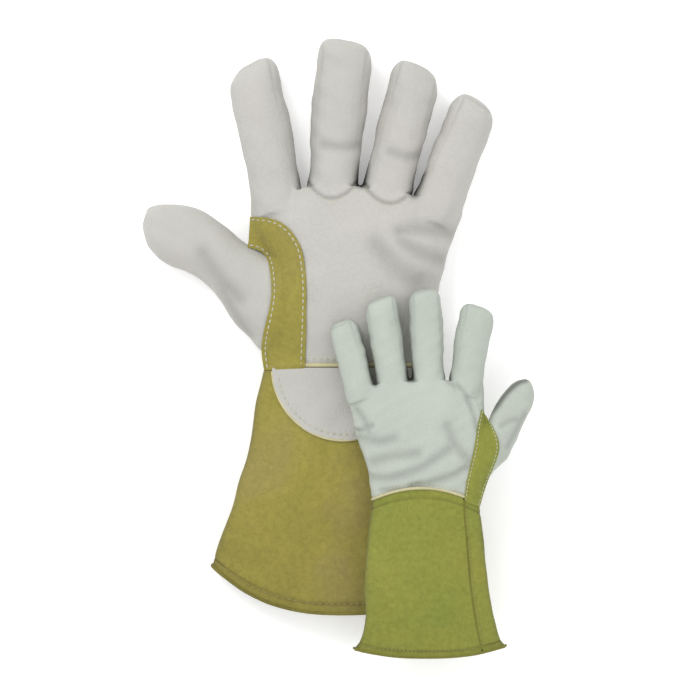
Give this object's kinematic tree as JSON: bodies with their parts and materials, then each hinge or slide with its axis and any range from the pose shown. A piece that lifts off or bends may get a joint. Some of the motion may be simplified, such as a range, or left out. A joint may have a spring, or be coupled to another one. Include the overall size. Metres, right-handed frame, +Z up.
{
  "type": "welding gloves",
  "caption": "Pair of leather welding gauntlets with set-in thumbs, fourchettes and flared split-leather cuffs, one lying palm up and one palm down across it",
  "frame": {"origin": "middle of the pair's footprint, on the surface the gloves lie on", "axes": "+Y from the cuffs to the fingertips, +Z up off the bench, +X towards the small glove's thumb"},
  "size_m": [0.2358, 0.37, 0.0512],
  "materials": {
    "grain_leather": "off-white natural grain leather, matte",
    "grain_leather_cool": "off-white grain leather with a faint green cast, matte",
    "split_leather": "olive split leather with a suede nap",
    "edge_leather": "dark olive turned edges and welts",
    "lining_cloth": "natural cotton lining",
    "elastic_band": "white woven elastic"
  },
  "bodies": {
    "large_hand": {"large_back_panel": "grain_leather", "large_cuff_back_panel": "split_leather", "large_cuff_hem": "edge_leather", "large_cuff_lining": "lining_cloth", "large_cuff_palm_panel": "split_leather", "large_cuff_seam_welt": "edge_leather", "large_hand_lining": "lining_cloth", "large_heel_patch": "grain_leather", "large_palm_panel": "grain_leather", "large_thumb_strap": "split_leather", "large_wrist_elastic": "elastic_band", "large_wrist_piping": "edge_leather"},
    "large_index": {"large_index_back": "grain_leather", "large_index_front": "grain_leather", "large_index_outer_fourchette": "grain_leather"},
    "large_middle": {"large_middle_back": "grain_leather", "large_middle_front": "grain_leather", "large_middle_inner_fourchette": "grain_leather", "large_middle_outer_fourchette": "grain_leather"},
    "large_ring": {"large_ring_back": "grain_leather", "large_ring_front": "grain_leather", "large_ring_inner_fourchette": "grain_leather", "large_ring_outer_fourchette": "grain_leather"},
    "large_little": {"large_little_back": "grain_leather", "large_little_front": "grain_leather", "large_little_inner_fourchette": "grain_leather"},
    "large_thumb": {"large_thumb_back": "grain_leather", "large_thumb_front": "grain_leather"},
    "small_hand": {"small_back_panel": "grain_leather_cool", "small_cuff_back_panel": "split_leather", "small_cuff_hem": "edge_leather", "small_cuff_lining": "lining_cloth", "small_cuff_palm_panel": "split_leather", "small_cuff_seam_welt": "edge_leather", "small_hand_lining": "lining_cloth", "small_heel_patch": "grain_leather_cool", "small_palm_panel": "grain_leather_cool", "small_thumb_strap": "split_leather", "small_wrist_elastic": "elastic_band", "small_wrist_piping": "edge_leather"},
    "small_index": {"small_index_back": "grain_leather_cool", "small_index_front": "grain_leather_cool", "small_index_outer_fourchette": "grain_leather_cool"},
    "small_middle": {"small_middle_back": "grain_leather_cool", "small_middle_front": "grain_leather_cool", "small_middle_inner_fourchette": "grain_leather_cool", "small_middle_outer_fourchette": "grain_leather_cool"},
    "small_ring": {"small_ring_back": "grain_leather_cool", "small_ring_front": "grain_leather_cool", "small_ring_inner_fourchette": "grain_leather_cool", "small_ring_outer_fourchette": "grain_leather_cool"},
    "small_little": {"small_little_back": "grain_leather_cool", "small_little_front": "grain_leather_cool", "small_little_inner_fourchette": "grain_leather_cool"},
    "small_thumb": {"small_thumb_back": "grain_leather_cool", "small_thumb_front": "grain_leather_cool"}
  },
  "joints": [
    {"name": "small_glove_lift", "type": "slide", "parent": "large_hand", "child": "small_hand", "axis": [0, 0, 1], "range_m": [0, 0.12]},
    {"name": "large_index_bend", "type": "hinge", "parent": "large_hand", "child": "large_index", "pos_m": [-0.0369, 0.09362, 0.0246], "axis": [0.9848, 0.1736, 0], "range_deg": [0, 65]},
    {"name": "large_middle_bend", "type": "hinge", "parent": "large_hand", "child": "large_middle", "pos_m": [-0.0025, 0.0973, 0.0256], "axis": [0.9959, -0.0906, 0], "range_deg": [0, 65]},
    {"name": "large_ring_bend", "type": "hinge", "parent": "large_hand", "child": "large_ring", "pos_m": [0.0301, 0.09423, 0.0246], "axis": [0.9694, -0.2453, 0], "range_deg": [0, 65]},
    {"name": "large_little_bend", "type": "hinge", "parent": "large_hand", "child": "large_little", "pos_m": [0.0616, 0.0852, 0.0226], "axis": [0.9367, -0.3502, 0], "range_deg": [0, 65]},
    {"name": "large_thumb_bend", "type": "hinge", "parent": "large_hand", "child": "large_thumb", "pos_m": [-0.0434, 0.0246, 0.0256], "axis": [0, 1, 0], "range_deg": [0, 55]},
    {"name": "small_index_bend", "type": "hinge", "parent": "small_hand", "child": "small_index", "pos_m": [0.07762, -0.02086, 0.04774], "axis": [0.9903, -0.1392, 0], "range_deg": [0, 30]},
    {"name": "small_middle_bend", "type": "hinge", "parent": "small_hand", "child": "small_middle", "pos_m": [0.05522, -0.01982, 0.04838], "axis": [0.9994, 0.0349, 0], "range_deg": [0, 30]},
    {"name": "small_ring_bend", "type": "hinge", "parent": "small_hand", "child": "small_ring", "pos_m": [0.0341, -0.02114, 0.04774], "axis": [0.9893, 0.1461, 0], "range_deg": [0, 30]},
    {"name": "small_little_bend", "type": "hinge", "parent": "small_hand", "child": "small_little", "pos_m": [0.0133, -0.02462, 0.04646], "axis": [0.9703, 0.2419, 0], "range_deg": [0, 30]},
    {"name": "small_thumb_bend", "type": "hinge", "parent": "small_hand", "child": "small_thumb", "pos_m": [0.0917, -0.0609, 0.04838], "axis": [0, -1, 0], "range_deg": [0, 30]}
  ]
}
